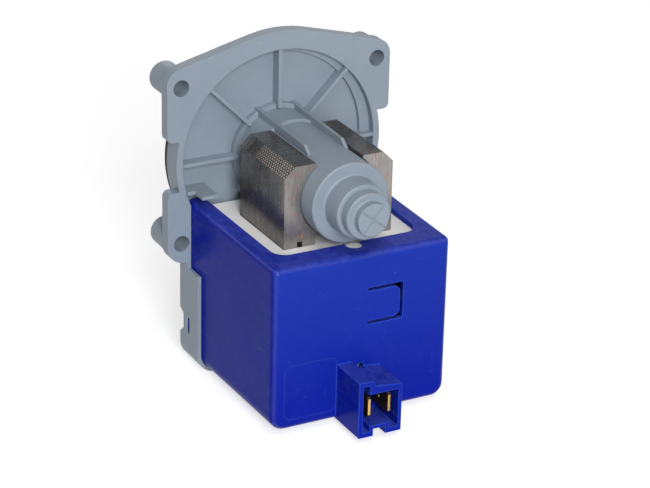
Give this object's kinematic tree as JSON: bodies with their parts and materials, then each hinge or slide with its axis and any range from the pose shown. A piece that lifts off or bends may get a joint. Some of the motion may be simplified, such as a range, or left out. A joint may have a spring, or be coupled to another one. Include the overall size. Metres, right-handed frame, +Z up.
{
  "type": "drain pump",
  "caption": "Synchronous drain pump for a washing machine: flanged cover with a rotor can, a coil pack under a box cover with a plug socket, and a vaned impeller.",
  "frame": {"origin": "centre of the four screw holes, on the rotor's axis, in the flange's motor-side face", "axes": "+Y along the rotor's axis towards the impeller, -Y towards the motor, +X to the right seen from the motor end, +Z up, away from the coils"},
  "size_m": [0.0726, 0.0949, 0.1009],
  "materials": {
    "grey_plastic": "matte bluish-grey moulding",
    "blue_plastic": "glossy deep blue moulding",
    "bobbin_plastic": "off-white moulding",
    "impeller_plastic": "dark moulding",
    "rotor_plastic": "dark moulding",
    "laminated_steel": "stacked punched sheet",
    "shaft_steel": "ground",
    "magnet": "sintered, dark",
    "copper_wire": "enamelled round wire",
    "tab_brass": "rolled",
    "bush_carbon": "fine ground",
    "black_rubber": "matte",
    "washer_plastic": "smooth"
  },
  "bodies": {
    "housing": {"pump_cover": "grey_plastic", "flange_gasket": "black_rubber", "bush_carrier": "impeller_plastic", "carrier_o_ring": "black_rubber", "front_bush": "bush_carbon", "front_bush_damper": "black_rubber", "rear_bush": "bush_carbon", "rear_bush_damper": "black_rubber", "front_thrust_washer": "washer_plastic", "rear_thrust_washer": "washer_plastic", "stator_core": "laminated_steel", "bobbin_left": "bobbin_plastic", "bobbin_right": "bobbin_plastic", "winding_left": "copper_wire", "winding_right": "copper_wire", "terminal_left": "tab_brass", "terminal_right": "tab_brass", "coil_cover": "blue_plastic"},
    "rotor": {"rotor_shaft": "shaft_steel", "rotor_hub": "rotor_plastic", "rotor_magnet": "magnet", "drive_dog": "rotor_plastic"},
    "wheel": {"impeller": "impeller_plastic", "impeller_cap": "impeller_plastic", "impeller_damper": "black_rubber"}
  },
  "joints": [
    {"name": "rotor_spin", "type": "hinge", "parent": "housing", "child": "rotor", "pos_m": [0, 0, 0], "axis": [0, 1, 0], "continuous": true},
    {"name": "impeller_lost_motion", "type": "hinge", "parent": "rotor", "child": "wheel", "pos_m": [0, 0.0207, 0], "axis": [0, 1, 0], "range_deg": [-125, 125]}
  ]
}
